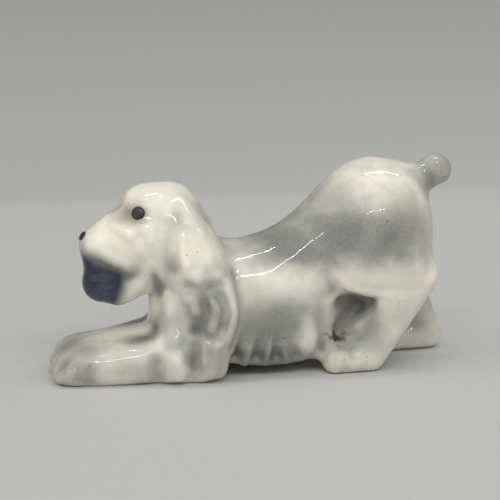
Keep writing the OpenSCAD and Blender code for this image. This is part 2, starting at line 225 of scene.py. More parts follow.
class Sculpt:
    """The skin while it is worked: its points, its neighbours and its directions."""

    def __init__(self, skin):
        self.skin = skin
        self.mesh = skin.data
        self.take_points()
        count = len(self.points)
        pairs = np.empty(len(self.mesh.edges) * 2, np.int32)
        self.mesh.edges.foreach_get("vertices", pairs)
        self.start, self.end = pairs.reshape(-1, 2).T
        self.degree = np.bincount(pairs, minlength=count).astype(float)

    def take_points(self):
        points = np.empty(len(self.mesh.vertices) * 3, np.float32)
        self.mesh.vertices.foreach_get("co", points)
        self.points = points.reshape(-1, 3).astype(float)

    def put_back(self):
        self.mesh.vertices.foreach_set("co", self.points.astype(np.float32).ravel())
        self.mesh.update()

    def normals(self):
        self.put_back()
        found = np.empty(len(self.points) * 3, np.float32)
        self.mesh.vertex_normals.foreach_get("vector", found)
        return found.reshape(-1, 3).astype(float)

    def mean_of_neighbours(self, values):
        columns = []
        for column in np.atleast_2d(values.T):
            total = np.bincount(self.start, column[self.end], len(column))
            total += np.bincount(self.end, column[self.start], len(column))
            columns.append(total / self.degree)
        return np.array(columns).T if values.ndim > 1 else columns[0]

    def spread(self, values, rounds):
        """Takes the mean of the neighbours' values, round after round."""
        for turn in range(rounds):
            values = self.mean_of_neighbours(values)
        return values

    def settle(self, rounds, weights=None):
        """Draws each point towards its neighbours, by a weight from 0 to 1."""
        self.put_back()
        settings = {"factor": SETTLE_FACTOR, "iterations": rounds}
        if weights is not None:
            group = self.skin.vertex_groups.new(name="soft")
            levels = np.round(np.clip(weights, 0, 1) * WEIGHT_LEVELS).astype(int)
            for level in np.unique(levels):
                group.add(np.nonzero(levels == level)[0].tolist(), level / WEIGHT_LEVELS, "REPLACE")
            settings["vertex_group"] = group.name
        apply(self.skin, "SMOOTH", **settings)
        self.skin.vertex_groups.clear()
        self.take_points()

    def tree(self):
        self.put_back()
        return BVHTree.FromObject(self.skin, bpy.context.evaluated_depsgraph_get())


def nearest_nodes(points):
    """The cast piece that lies nearest to each point, as its place in CLAY_NODES."""
    places, corners, owners = [], [], []
    for index, name in enumerate(CLAY_NODES):
        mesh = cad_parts[name].data
        base = len(places)
        places += [vertex.co.copy() for vertex in mesh.vertices]
        corners += [[base + corner for corner in face.vertices] for face in mesh.polygons]
        owners += [index] * len(mesh.polygons)
    tree = BVHTree.FromPolygons(places, corners)
    return np.array([owners[tree.find_nearest(Vector(point))[2]] for point in points])


# Rounds of smoothing, and the share of them that each cast piece and each seam takes
SOFT_ROUNDS = 320
SOFT_SHARE = {"torso": 1.0, "head": 0.12, "left_ear": 0.14, "right_ear": 0.14, "left_foreleg": 0.8,
              "right_foreleg": 0.8, "left_hind_leg": 0.25, "right_hind_leg": 0.25, "tail": 0.08,
              "mouth_ball": 0.12}
SEAM_SHARE = 0.35
SEAM_WIDTH = 3.5 * MM
WEIGHT_ROUNDS = 8
# Places that take more: the hips and the ears from low to high, the forelegs towards the middle and
# before the elbow, and the pocket behind the belly
HIP_LOW, HIP_HIGH = 10 * MM, 18 * MM
EAR_LOW, EAR_HIGH = 15 * MM, 21 * MM
MIDDLE_HALF = 5.5 * MM
ELBOW_X, FOREARM_BLEND, FOREARM_ROUNDS = -16 * MM, 3 * MM, 260
POCKET_X, POCKET_Z = (7.5 * MM, 18 * MM), (3 * MM, 14 * MM)
POCKET_SHARE = 1.0


def on_pair(owner, kind):
    """Which points lie on the left or the right piece of this kind."""
    return np.isin(owner, [CLAY_NODES.index("left_" + kind), CLAY_NODES.index("right_" + kind)])


def softness(sculpt, owner):
    """The share of the smoothing that each point takes: more on broad forms and along the seams."""
    x, y, z = sculpt.points.T
    share = np.array([SOFT_SHARE[name] for name in CLAY_NODES], float)[owner]
    hip = on_pair(owner, "hind_leg")
    share[hip] = np.maximum(share[hip], ramp(z[hip], HIP_LOW, HIP_HIGH))
    arm = on_pair(owner, "foreleg")
    share[arm] = np.maximum(share[arm], 1 - np.abs(y[arm]) / MIDDLE_HALF)
    ear = on_pair(owner, "ear")
    share[ear] = np.maximum(share[ear], ramp(z[ear], EAR_LOW, EAR_HIGH))
    pocket = (x > POCKET_X[0]) & (x < POCKET_X[1]) & (z > POCKET_Z[0]) & (z < POCKET_Z[1])
    share[pocket] = POCKET_SHARE
    crossing = owner[sculpt.start] != owner[sculpt.end]
    seam = point_search(sculpt.points[sculpt.start[crossing]])
    apart = np.array([seam.find(point)[2] for point in sculpt.points])
    share += SEAM_SHARE * np.clip(1 - apart / SEAM_WIDTH, 0, 1)
    return sculpt.spread(share, WEIGHT_ROUNDS)


def soften(sculpt):
    """Smooths the facets away, the broad forms most, and fills the seams as slip does."""
    owner = nearest_nodes(sculpt.points)
    share = softness(sculpt, owner)
    before_elbow = np.clip((ELBOW_X - sculpt.points[:, 0]) / FOREARM_BLEND, 0, 1)
    forearm = sculpt.spread(np.where(on_pair(owner, "foreleg"), before_elbow, 0), WEIGHT_ROUNDS)
    sculpt.settle(SOFT_ROUNDS, share)
    sculpt.settle(FOREARM_ROUNDS, forearm)


# Tool strokes on both sides: depth in mm at the start and at the end (out is positive), half width
# in mm, and points in the side view in mm
HEAD_STROKES = [
    ("eye_pouch", (-0.25, -0.25), 1.5, [(-21.3, 26.2), (-20.6, 25.4), (-19.5, 24.6)]),
    ("behind_eye", (-0.2, -0.2), 1.5, [(-17.2, 26.1), (-16.5, 25.4), (-15.6, 25.2)]),
    ("cheek", (0.45, 0.45), 1.5, [(-18.8, 24.2), (-17.7, 23.3), (-17.5, 22.2)]),
    ("snout_side", (0.45, 0.45), 1.5, [(-22.6, 24.4), (-21.5, 23.8), (-20.5, 22.7)]),
    ("nose_wing", (0.3, 0.3), 1.3, [(-26.4, 22.0), (-25.6, 22.0), (-24.9, 21.3)]),
    ("lip_roll", (0.3, 0.3), 1.6, [(-26.4, 20.4), (-24.8, 19.8), (-23.0, 18.9), (-21.1, 17.9)]),
    ("lip_edge", (-0.15, -0.2), 1.2, [(-26.6, 18.8), (-25.3, 18.4), (-23.8, 17.6), (-22.1, 16.6),
                                      (-20.6, 16.0)]),
    ("mouth_corner", (-0.2, -0.3), 1.7, [(-18.0, 19.4), (-18.8, 17.9), (-19.3, 16.5), (-20.1, 15.2)]),
    ("jowl", (0.25, 0.25), 1.5, [(-17.2, 18.2), (-17.9, 16.2), (-18.8, 14.4)]),
    ("chin", (0.2, 0.2), 1.5, [(-21.0, 12.4), (-19.9, 13.2), (-18.7, 14.5)]),
    ("throat", (-0.25, -0.25), 1.9, [(-16.8, 14.6), (-15.9, 13.8)]),
]
EAR_STROKES = [
    ("front_groove", (-0.3, -0.45), 2.0, [(-13.6, 26.3), (-14.2, 24.0), (-14.6, 21.0), (-14.6, 18.0)]),
    ("front_lobe", (0.3, 0.45), 1.6, [(-13.0, 22.4), (-12.7, 20.8), (-12.3, 19.0)]),
    ("middle_groove", (-0.2, -0.25), 1.8, [(-11.2, 23.6), (-11.1, 21.0), (-11.0, 18.4)]),
    ("second_lock", (0.2, 0.25), 1.5, [(-9.6, 23.4), (-9.0, 21.4), (-8.8, 18.9)]),
    ("above_curls", (-0.5, -0.7), 1.4, [(-12.4, 15.4), (-10.5, 15.1), (-8.6, 15.2), (-7.2, 15.6)]),
    ("first_curl", (0.8, 0.7), 1.7, [(-12.1, 13.6), (-11.3, 12.9), (-11.0, 11.8)]),
    ("first_curl_hollow", (-0.6, -0.5), 1.4, [(-9.9, 13.8), (-9.5, 11.8), (-9.9, 9.9), (-11.2, 8.7)]),
    ("second_curl", (0.4, 0.4), 1.5, [(-8.6, 12.8), (-7.8, 11.7), (-7.8, 10.5), (-8.7, 8.6)]),
    ("second_curl_hollow", (-0.6, -0.5), 1.2, [(-7.3, 14.0), (-6.6, 12.6), (-6.5, 11.0), (-7.2, 9.0)]),
    ("under_curls", (-0.5, -0.5), 1.4, [(-11.4, 8.4), (-9.6, 7.5), (-8.0, 7.2)]),
    ("rear_ridge", (0.45, 0.5), 1.3, [(-6.0, 15.6), (-5.5, 13.3), (-5.2, 11.2), (-5.5, 9.2),
                                      (-6.4, 7.4), (-7.8, 6.3)]),
    ("rear_edge", (-0.35, -0.4), 1.3, [(-4.6, 16.9), (-4.2, 13.9), (-4.1, 10.9), (-4.6, 8.3), (-5.4, 5.4)]),
]
FORELEG_STROKES = [
    ("shoulder_ridge", (0.3, 0.3), 2.0, [(-15.1, 12.8), (-14.3, 10.3), (-14.6, 7.3)]),
    ("feather_ridge", (0.5, 0.5), 1.1, [(-9.8, 7.1), (-10.0, 5.4), (-9.9, 3.4)]),
    ("feather_lobe", (0.5, 0.5), 1.4, [(-8.1, 6.9), (-8.3, 4.4), (-8.5, 1.8)]),
    ("feather_groove", (-0.8, -0.8), 1.1, [(-11.1, 6.6), (-11.2, 4.5), (-11.1, 2.2)]),
    ("feather_parting", (-0.4, -0.4), 0.8, [(-9.1, 5.4), (-9.2, 3.0)]),
    ("elbow_knob", (1.2, 1.0), 2.0, [(-14.0, 3.9), (-13.8, 2.0)]),
    ("before_elbow", (-1.0, -1.0), 1.5, [(-17.2, 4.2), (-17.3, 2.1), (-16.8, 0.6)]),
    ("behind_elbow", (-0.9, -0.9), 1.3, [(-11.9, 4.5), (-11.7, 2.3), (-11.6, 0.6)]),
    ("first_toe", (-0.7, -0.7), 1.1, [(-29.3, 3.9), (-29.2, 2.4), (-28.9, 1.0)]),
    ("second_toe", (-0.7, -0.7), 1.1, [(-27.4, 3.3), (-27.5, 1.9), (-27.3, 0.6)]),
    ("paw_corner", (-0.8, -0.7), 2.6, [(-31.4, 3.8), (-31.7, 2.4), (-31.6, 1.4)]),
    ("feather_end", (-1.3, -0.8), 2.4, [(-5.6, 0.4), (-5.4, 2.2)]),
]
BELLY_STROKES = [
    ("first_parting", (-0.2, -1.3), 1.2, [(-3.6, 7.0), (-4.0, 4.7), (-4.2, 3.0)]),
    ("first_lock", (0.1, 0.65), 0.9, [(-1.7, 6.5), (-2.2, 4.3), (-2.8, 2.0)]),
    ("second_parting", (-0.2, -1.3), 1.2, [(-0.2, 7.6), (-0.7, 4.8), (-1.0, 3.0)]),
    ("second_lock", (0.1, 0.65), 0.9, [(1.4, 8.0), (1.1, 5.2), (0.5, 2.0)]),
    ("third_parting", (-0.2, -1.3), 1.2, [(2.5, 6.6), (2.2, 4.3), (2.1, 3.0)]),
    ("third_lock", (0.1, 0.65), 0.9, [(2.9, 6.4), (3.3, 4.2), (4.0, 2.2)]),
    ("fourth_parting", (-0.2, -0.9), 1.1, [(4.3, 5.8), (4.8, 4.1), (5.4, 3.0)]),
    ("rear_lobe", (0.6, 0.7), 2.6, [(6.8, 8.1), (7.4, 6.0), (6.8, 4.2)]),
    ("behind_lobe", (-0.3, -0.7), 1.7, [(8.8, 12.0), (9.7, 9.0), (10.0, 6.1), (9.5, 3.7)]),
]
HIND_STROKES = [
    ("thigh_edge", (0.4, 0.5), 1.5, [(11.5, 15.7), (13.5, 13.8), (16.5, 12.8), (19.5, 12.4)]),
    ("knee_fold", (-0.5, -0.5), 2.2, [(9.8, 18.0), (10.2, 15.8), (10.9, 13.1)]),
    ("pocket", (-0.6, -0.6), 2.0, [(13.1, 11.0), (15.3, 10.5), (17.2, 10.4)]),
    ("pocket_fall", (-1.0, -0.6), 2.0, [(15.2, 9.9), (13.8, 8.4), (12.2, 6.4)]),
    ("shank_front", (0.7, 0.5), 1.7, [(18.6, 10.8), (17.2, 9.0), (15.6, 7.0)]),
    ("pocket_crease", (0.35, 0.35), 0.6, [(13.9, 9.3), (12.2, 6.9), (11.0, 5.9)]),
    ("hock_dimple", (-0.3, -0.3), 1.7, [(25.7, 18.5), (26.0, 17.0), (26.2, 15.6)]),
    ("flank_wrinkle", (-0.2, -0.2), 0.8, [(21.5, 18.7), (22.9, 18.4), (23.9, 17.7)]),
]
# Strokes on the left hind foot; the right foot stands further back
FOOT_STROKES = [
    ("instep", (-0.3, -0.3), 1.3, [(14.3, 4.1), (14.6, 2.7)]),
    ("first_toe", (-0.25, -0.25), 0.8, [(11.0, 2.6), (11.1, 0.8)]),
    ("second_toe", (-0.25, -0.25), 0.8, [(12.8, 2.2), (13.1, 0.6)]),
]
RIGHT_FOOT_BACK = 13.1 * MM
# Strokes from above, as points (x, y), and from the front, as points (y, z); both sides again
TOP_STROKES = [
    ("brow_stop", (-0.4, -0.5), 2.6, [(-21.6, 0.6), (-21.5, 1.8), (-21.3, 3.2)]),
]
FRONT_STROKES = [
    ("between_paws", (-0.3, -0.5), 1.5, [(0.0, 3.2), (0.0, 2.2), (0.0, 0.6)]),
    ("inner_toe", (-0.3, -0.5), 1.0, [(4.4, 2.8), (4.4, 2.0), (4.4, 0.8)]),
    ("outer_toe", (-0.2, -0.3), 1.0, [(6.4, 2.6), (6.4, 1.8), (6.4, 1.2)]),
]
# The order in which the sides are worked, with the rounds of settling after each set
SIDE_WORK = [(FORELEG_STROKES, 8), (BELLY_STROKES, 8), (HIND_STROKES, 8), (EAR_STROKES, 5),
             (HEAD_STROKES, 4)]
LAST_ROUNDS = 4
STROKE_STEP = 0.25 * MM
# A stroke takes in full what faces its line, and less below this cosine
FULL_FACING = 0.25
LEFT, RIGHT = -1, 1
FAR = 50 * MM


def along(points):
    """Points at even steps along a line through the given ones."""
    places = np.array(points, float) * MM
    spans = np.linalg.norm(np.diff(places, axis=0), axis=1)
    run = np.concatenate([[0], np.cumsum(spans)])
    at = np.linspace(0, run[-1], max(2, int(run[-1] / STROKE_STEP)))
    return np.stack([np.interp(at, run, places[:, k]) for k in range(places.shape[1])], 1)


def from_the_side(x, z, side):
    return Vector((x, side * FAR, z)), Vector((0, -side, 0))


def from_above(x, y, side):
    return Vector((x, side * y, FAR)), Vector((0, 0, -1))


def from_the_front(y, z, side):
    return Vector((-FAR, side * y, z)), Vector((1, 0, 0))


def stroke(sculpt, tree, normals, rays, depths, width):
    """Presses or raises the skin along the line where the rays meet it."""
    width = width * MM
    line, facing = [], []
    for start, direction in rays:
        hit, normal = tree.ray_cast(start, direction)[:2]
        if hit is not None:
            line.append(hit)
            facing.append(normal)
    if not line:
        return
    line, facing = np.array(line), np.array(facing)
    inside = (sculpt.points > line.min(0) - width) & (sculpt.points < line.max(0) + width)
    near = np.nonzero(np.all(inside, axis=1))[0]
    apart = np.linalg.norm(sculpt.points[near, None, :] - line[None, :, :], axis=2)
    closest = apart.argmin(1)
    depth = np.linspace(depths[0], depths[1], len(line))[closest] * MM
    turned = np.clip((normals[near] * facing[closest]).sum(1) / FULL_FACING, 0, 1)
    profile = np.clip(1 - (apart.min(1) / width) ** 2, 0, 1) ** 2
    sculpt.points[near] += (depth * profile * turned)[:, None] * normals[near]


def tool(sculpt, strokes, seen=from_the_side, sides=(LEFT, RIGHT), back=0):
    """Works a set of strokes into the skin, seen from one direction and moved back by a length."""
    tree = sculpt.tree()
    normals = sculpt.normals()
    for label, depths, width, points in strokes:
        for side in sides:
            rays = [seen(across + back, up, side) for across, up in along(points)]
            stroke(sculpt, tree, normals, rays, depths, width)


def work_strokes(sculpt):
    for strokes, rounds in SIDE_WORK:
        tool(sculpt, strokes)
        sculpt.settle(rounds)
    tool(sculpt, TOP_STROKES, from_above)
    tool(sculpt, FRONT_STROKES, from_the_front)
    tool(sculpt, FOOT_STROKES, sides=[LEFT])
    tool(sculpt, FOOT_STROKES, sides=[RIGHT], back=RIGHT_FOOT_BACK)
    sculpt.settle(LAST_ROUNDS)


def stand_flat(sculpt):
    """Nothing goes below the ground that the figure stands on."""
    sculpt.points[:, 2] = np.maximum(sculpt.points[:, 2], 0)


# The uneven skin of clay that was worked by hand
UNEVEN_SIZE = 3.5 * MM
UNEVEN_DETAIL = 1
UNEVEN_DEPTH = 0.24 * MM


def unsettle(sculpt):
    sculpt.put_back()
    clouds = bpy.data.textures.new("uneven_clay", "CLOUDS")
    clouds.noise_scale = UNEVEN_SIZE
    clouds.noise_depth = UNEVEN_DETAIL
    apply(sculpt.skin, "DISPLACE", texture=clouds, texture_coords="LOCAL", strength=UNEVEN_DEPTH)
    sculpt.take_points()


# The hollows, where glaze pools grey and where shade is painted in: how far a point lies under the mean of
# its surroundings. Each step has the further rounds of its mean, and the depth that counts as full
HOLLOW_STEPS = [(50, 0.35 * MM), (200, 0.9 * MM)]
HOLLOW_BLUR = 12


def hollows(sculpt, normals):
    depth = np.zeros(len(sculpt.points))
    broad = sculpt.points
    for rounds, full in HOLLOW_STEPS:
        broad = sculpt.spread(broad, rounds)
        depth += ((broad - sculpt.points) * normals).sum(1) / full / len(HOLLOW_STEPS)
    return np.clip(sculpt.spread(depth, HOLLOW_BLUR), -1, 1)


# Cutting: each piece is what a swollen copy of its cast piece takes from the lump, in this order
CUT_GRAIN = 0.5 * MM
CUT_SWELL = {"mouth_ball": 0.3, "left_ear": 0.8, "right_ear": 0.8, "tail": 0.9, "head": 1.6,
             "left_foreleg": 1.4, "right_foreleg": 1.4, "left_hind_leg": 1.2, "right_hind_leg": 1.2}


def cutter(name):
    """A swollen copy of a cast piece."""
    copy = join(node_copy(name), *lumps_on(name))
    apply(copy, "REMESH", mode="VOXEL", voxel_size=CUT_GRAIN)
    apply(copy, "DISPLACE", strength=CUT_SWELL[name] * MM, mid_level=0)
    apply(copy, "REMESH", mode="VOXEL", voxel_size=CUT_GRAIN)
    return copy


def cut(skin):
    """One closed piece for each cast piece, out of the whole lump."""
    rest = twin(skin)
    pieces = {}
    for name in CUT_SWELL:
        blade = cutter(name)
        piece = twin(rest)
        apply(piece, "BOOLEAN", operation="INTERSECT", object=blade, solver="MANIFOLD")
        apply(rest, "BOOLEAN", operation="DIFFERENCE", object=blade, solver="MANIFOLD")
        bpy.data.objects.remove(blade)
        pieces[name] = piece
    pieces["torso"] = rest
    pieces = {name: largest_part(piece) for name, piece in pieces.items()}
    for name, piece in pieces.items():
        piece.name = "glazed_" + name
        piece.data.name = piece.name
    return pieces


# Shading: a point on the skin takes the mean of its nearest skin points, the closest one most
SKIN_NEIGHBOURS = 3
ON_SKIN = 0.002 * MM


def finish_piece(piece, search, normals, hollow):
    """Shades the piece as the whole skin is shaded, so that no seam shows."""
    mesh = piece.data
    mesh.materials.clear()
    points = np.empty(len(mesh.vertices) * 3, np.float32)
    mesh.vertices.foreach_get("co", points)
    facing = np.zeros((len(mesh.vertices), 3))
    depth = np.zeros(len(mesh.vertices))
    for index, point in enumerate(points.reshape(-1, 3)):
        places, near, distances = zip(*search.find_n(point, SKIN_NEIGHBOURS))
        if distances[0] < CLAY_GRAIN:
            near = list(near)
            weights = 1 / (np.array(distances) + ON_SKIN)
            facing[index] = (normals[near] * weights[:, None]).sum(0)
            depth[index] = (hollow[near] * weights).sum() / weights.sum()
    length = np.linalg.norm(facing, axis=1)
    facing[length > 0] /= length[length > 0, None]
    layer = mesh.attributes.new("hollow", "FLOAT", "POINT")
    layer.data.foreach_set("value", depth.astype(np.float32))
    choose(piece)
    bpy.ops.object.shade_smooth()
    mesh.normals_split_custom_set_from_vertices(facing)


stand_camera()
sculpt = Sculpt(knead())
soften(sculpt)
unsettle(sculpt)
work_strokes(sculpt)
stand_flat(sculpt)
skin_normals = sculpt.normals()
skin_hollows = hollows(sculpt, skin_normals)
skin_search = point_search(sculpt.points)
pieces = cut(sculpt.skin)
for piece in pieces.values():
    finish_piece(piece, skin_search, skin_normals, skin_hollows)


# Enamel: the eyes and the nose are dabs on the glaze
EYE_X, EYE_Z = -18.95 * MM, 26.2 * MM
EYE_RADIUS = 1.06 * MM
NOSE_Z = 22.1 * MM
NOSE_WIDTH, NOSE_TALL = 1.15 * MM, 0.8 * MM
DAB_RISE = 0.32 * MM
DAB_SINK = 0.07 * MM
DAB_SEGMENTS = 48
# The ray along which each dab is put on, its half width and its half height
DABS = {
    "left_eye": (from_the_side(EYE_X, EYE_Z, LEFT), EYE_RADIUS, EYE_RADIUS),
    "right_eye": (from_the_side(EYE_X, EYE_Z, RIGHT), EYE_RADIUS, EYE_RADIUS),
    "nose_tip": (from_the_front(0, NOSE_Z, LEFT), NOSE_WIDTH, NOSE_TALL),
}


def dab(tree, name, ray, width, tall):
    """A flat drop of enamel on the skin, where the ray meets it."""
    place, normal = tree.ray_cast(*ray)[:2]
    turn = normal.to_track_quat("Z", "Y").to_euler()
    drop = oval_body(place - normal * DAB_SINK, (width, tall, DAB_RISE), turn, DAB_SEGMENTS)
    drop.name = "enamel_" + name
    drop.data.name = drop.name
    bpy.ops.object.shade_smooth()
    return drop


skin_tree = sculpt.tree()
drops = {name: dab(skin_tree, name, *touch) for name, touch in DABS.items()}
bpy.data.objects.remove(sculpt.skin)


# Glazes
def colour(red, green, blue):
    """A colour given as it looks on screen, 0 to 255, in the shader's linear values."""
    def linear(value):
        value /= 255
        return value / 12.92 if value <= 0.04045 else ((value + 0.055) / 1.055) ** 2.4
    return (linear(red), linear(green), linear(blue), 1)


CREAM = colour(247, 242, 227)
SHADE = colour(196, 197, 186)
# Sprayed grey, also used as painted shade on the sides, the belly, the legs and in shallow hollows
AIRBRUSH_AND_SHADE_GREY = colour(116, 119, 116)
# Grey of pooled glaze, also used as painted shade in the hollows, at the foot of the fringe and in the
# pocket
POOLED_AND_SHADE_GREY = colour(84, 87, 84)
BROWNISH = colour(140, 131, 116)
# Darker grey for the dips between the forelegs
DIP_GREY = colour(112, 108, 100)
ROSY = colour(222, 203, 190)
COBALT = colour(40, 47, 63)
COBALT_THIN = colour(78, 90, 108)
GRIME = colour(52, 51, 47)

# Grey sprayed under the glaze, and with it painted shade on the flanks, the ear's curls, the lower belly
# and the legs: middle and half sizes in the side view in mm, and strength
SPRAYED_AND_SHADED = [
    ((15.5, 22.0), (15.0, 6.6), 1.0),
    ((5.0, 20.3), (8.5, 4.4), 0.95),
    ((12.0, 26.0), (6.0, 4.0), 0.65),
    ((0.5, 8.0), (12.0, 7.0), 0.85),
    ((0.5, 4.0), (10.0, 2.4), 0.85),
    ((26.0, 18.6), (1.6, 2.6), 0.40),
    ((21.0, 16.0), (5.5, 4.0), 0.35),
    ((9.6, 15.5), (2.4, 6.0), 0.50),
    ((-9.5, 11.6), (4.6, 6.6), 0.95),
    ((-12.8, 8.6), (3.4, 5.4), 0.50),
    ((-13.4, 24.6), (1.2, 4.0), 0.6),
    ((-20.0, 2.6), (9.0, 3.4), 0.55),
    ((-9.5, 4.0), (5.0, 4.6), 0.75),
    ((-14.5, 20.0), (1.5, 6.5), 0.55),
    ((13.0, 7.5), (5.5, 5.5), 0.55),
    ((28.0, 7.0), (6.5, 7.5), 0.45),
    ((30.5, 30.5), (5.4, 5.2), 1.0),
    ((21.5, 9.5), (4.0, 4.5), 0.35),
    ((-29.0, 3.0), (6.5, 5.0), 0.8),
    ((17.5, 6.5), (3.6, 5.5), 0.60),
]
# Thin brown in the pouches before the eyes and round the eyes
POUCHES = [((-20.6, 25.6), (3.0, 1.7), 0.6), ((EYE_X / MM, EYE_Z / MM), (1.75, 1.75), 0.75)]
# Cream over the spray in the side view: places it left clean, and painted light on the face, the head top,
# the ear and the lower edge of the thigh; and painted light on the tops of both forelegs
CLEAN_AND_LIT = [
    ((-20.5, 22.6), (7.5, 6.0), 0.9),
    ((-14.5, 28.5), (5.5, 3.0), 0.8),
    ((-12.2, 21.5), (2.4, 3.6), 0.9),
    ((16.5, 14.2), (8.0, 3.6), 0.8),
    ((3.5, 14.6), (8.0, 3.0), 0.35),
    ((7.4, 6.6), (2.6, 3.0), 0.4),
    ((14.2, 13.4), (3.2, 1.8), 0.8),
]
LIT_TOPS = [((-22.0, 1.2, 6.8), (7.0, 4.0, 1.8), 0.8)]
# Darker grey in the dips on both sides: middle and half sizes in mm, and strength
DIP_GREYS = [
    ((-18.8, 5.9, 6.2), (3.5, 2.8, 2.6), 0.9),
    ((-15.4, 3.6, 8.0), (1.8, 2.6, 2.4), 0.30),
]
# Shade at the foot of the belly fringe; grime, shadow and brown in the pocket behind it
FRINGE_SHADE = ((0.8, 2.0), (8.5, 3.0), 0.75)
POCKET = ((11.9, 5.6), (2.4, 2.2), 0.95)
POCKET_SHADOW = ((15.3, 10.4), (3.5, 2.8), 0.65)
POCKET_BROWN = ((12.8, 8.6), (4.2, 5.4), 0.3)
# Blue on the ball: it ends along a slope at the lip and at the chin, and above the forelegs
BLUE_TOP, BLUE_SLOPE, BLUE_FADE = 19.0, 0.47, 1.7
BLUE_FRONT, BLUE_BACK, BLUE_LEAN, BLUE_BACK_FADE = -24.5, -24.3, 0.25, 1.4
BLUE_LOW, BLUE_LOW_FADE = 10.5, 1.0
BLUE_DRIFT = 1.2 * MM
# The edges of the spray waver: the size of the waves, and how far they reach
DRIFT_SIZE, DRIFT_REACH = 5 * MM, 3 * MM
NOISE_MEAN = 0.5
# Where a soft oval ends and where it is full, as shares of its half sizes
OVAL_END, OVAL_FULL = 1.35, 0.2
# Clouds of tone: size, detail, and the noise values where a cloud starts and where it is full
SHADE_CLOUD = (9 * MM, 2, 0.35, 0.75)
MOTTLE_CLOUD, MOTTLE_SHARE = (2.4 * MM, 4, 0.35, 0.75), 0.2
ROSY_CLOUD, ROSY_SHARE = (7 * MM, 2, 0.55, 0.75), 0.5
GRAIN_CLOUD, GRAIN_SHARE = (0.5 * MM, 3, 0.15, 0.75), 0.1
DIRT_CLOUD = (1.6 * MM, 6, 0.46, 0.62)
SPECK_CLOUD, SPECK_SHARE = (0.45 * MM, 0, 0.84, 0.88), 0.8
BLUE_CLOUD = (3 * MM, 2, 0.4, 0.75)
# Glaze pooled with painted shade in the hollows, and painted light on the ridges: the hollow values where a
# paint starts and where it is full, share and paint
RELIEF_PAINTS = [(0.02, 0.8, 0.7, AIRBRUSH_AND_SHADE_GREY), (0.3, 1.1, 0.7, POOLED_AND_SHADE_GREY), (-0.1, -0.7, 0.25, CREAM)]
# The sockets of a Mix node that hold its amount, its two colours and its result
MIX_AMOUNT, MIX_FIRST, MIX_SECOND, MIX_RESULT = 0, 6, 7, 2


class Graph:
    """Short ways to add nodes to one node tree."""

    def __init__(self, tree):
        self.tree = tree

    def add(self, kind, **settings):
        node = self.tree.nodes.new(kind)
        for key, value in settings.items():
            setattr(node, key, value)
        return node

    def feed(self, socket, value):
        if isinstance(value, bpy.types.NodeSocket):
            self.tree.links.new(value, socket)
        else:
            socket.default_value = value

    def maths(self, operation, *values):
        node = self.add("ShaderNodeMath", operation=operation)
        for socket, value in zip(node.inputs, values):
            self.feed(socket, value)
        return node.outputs[0]

    def vector(self, operation, first, second):
        node = self.add("ShaderNodeVectorMath", operation=operation)
        self.feed(node.inputs[0], first)
        self.feed(node.inputs[1], second)
        return node.outputs["Value"] if operation == "LENGTH" else node.outputs["Vector"]

    def fade(self, value, start, end):
        """0 at the start, 1 at the end, with soft ends."""
        node = self.add("ShaderNodeMapRange", interpolation_type="SMOOTHSTEP")
        for name, given in (("Value", value), ("From Min", start), ("From Max", end)):
            self.feed(node.inputs[name], given)
        return node.outputs["Result"]

    def noise(self, place, size, detail=2):
        node = self.add("ShaderNodeTexNoise")
        self.feed(node.inputs["Vector"], place)
        node.inputs["Scale"].default_value = 1 / size
        node.inputs["Detail"].default_value = detail
        return node.outputs

    def cloud(self, place, size, detail, start, full):
        """Noise as a soft mask."""
        return self.fade(self.noise(place, size, detail)["Fac"], start, full)

    def split(self, place):
        node = self.add("ShaderNodeSeparateXYZ")
        self.feed(node.inputs[0], place)
        return node.outputs

    def mix(self, amount, first, second):
        node = self.add("ShaderNodeMix", data_type="RGBA")
        for socket, value in ((MIX_AMOUNT, amount), (MIX_FIRST, first), (MIX_SECOND, second)):
            self.feed(node.inputs[socket], value)
        return node.outputs[MIX_RESULT]

    def wash(self, tone, paint, mask, share=None):
        """A paint over the tone, by the mask or a share of it."""
        if share is not None:
            mask = self.maths("MULTIPLY", mask, share)
        return self.mix(mask, tone, paint)

    def oval(self, place, middle, shrink, strength):
        """A soft oval; shrink turns millimetres from the middle into shares of its half sizes."""
        away = self.vector("SUBTRACT", place, tuple(value * MM for value in middle))
        scaled = self.vector("MULTIPLY", away, tuple(value / MM for value in shrink))
        reach = self.vector("LENGTH", scaled, (0, 0, 0))
        return self.maths("MULTIPLY", self.fade(reach, OVAL_END, OVAL_FULL), strength)

    def spot(self, place, spot):
        """A soft oval in the side view."""
        (x, z), (wide, tall), strength = spot
        return self.oval(place, (x, 0, z), (1 / wide, 0, 1 / tall), strength)

    def mirrored(self, place):
        """The place, or its mirror image on the right side."""
        at = self.split(place)
        joined = self.add("ShaderNodeCombineXYZ")
        self.feed(joined.inputs["X"], at["X"])
        self.feed(joined.inputs["Y"], self.maths("ABSOLUTE", at["Y"]))
        self.feed(joined.inputs["Z"], at["Z"])
        return joined.outputs[0]


def ground(graph, place):
    """Cream that turns cooler, greyer and rosier in clouds."""
    tone = graph.mix(graph.cloud(place, *SHADE_CLOUD), CREAM, SHADE)
    tone = graph.wash(tone, AIRBRUSH_AND_SHADE_GREY, graph.cloud(place, *MOTTLE_CLOUD), MOTTLE_SHARE)
    return graph.wash(tone, ROSY, graph.cloud(place, *ROSY_CLOUD), ROSY_SHARE)


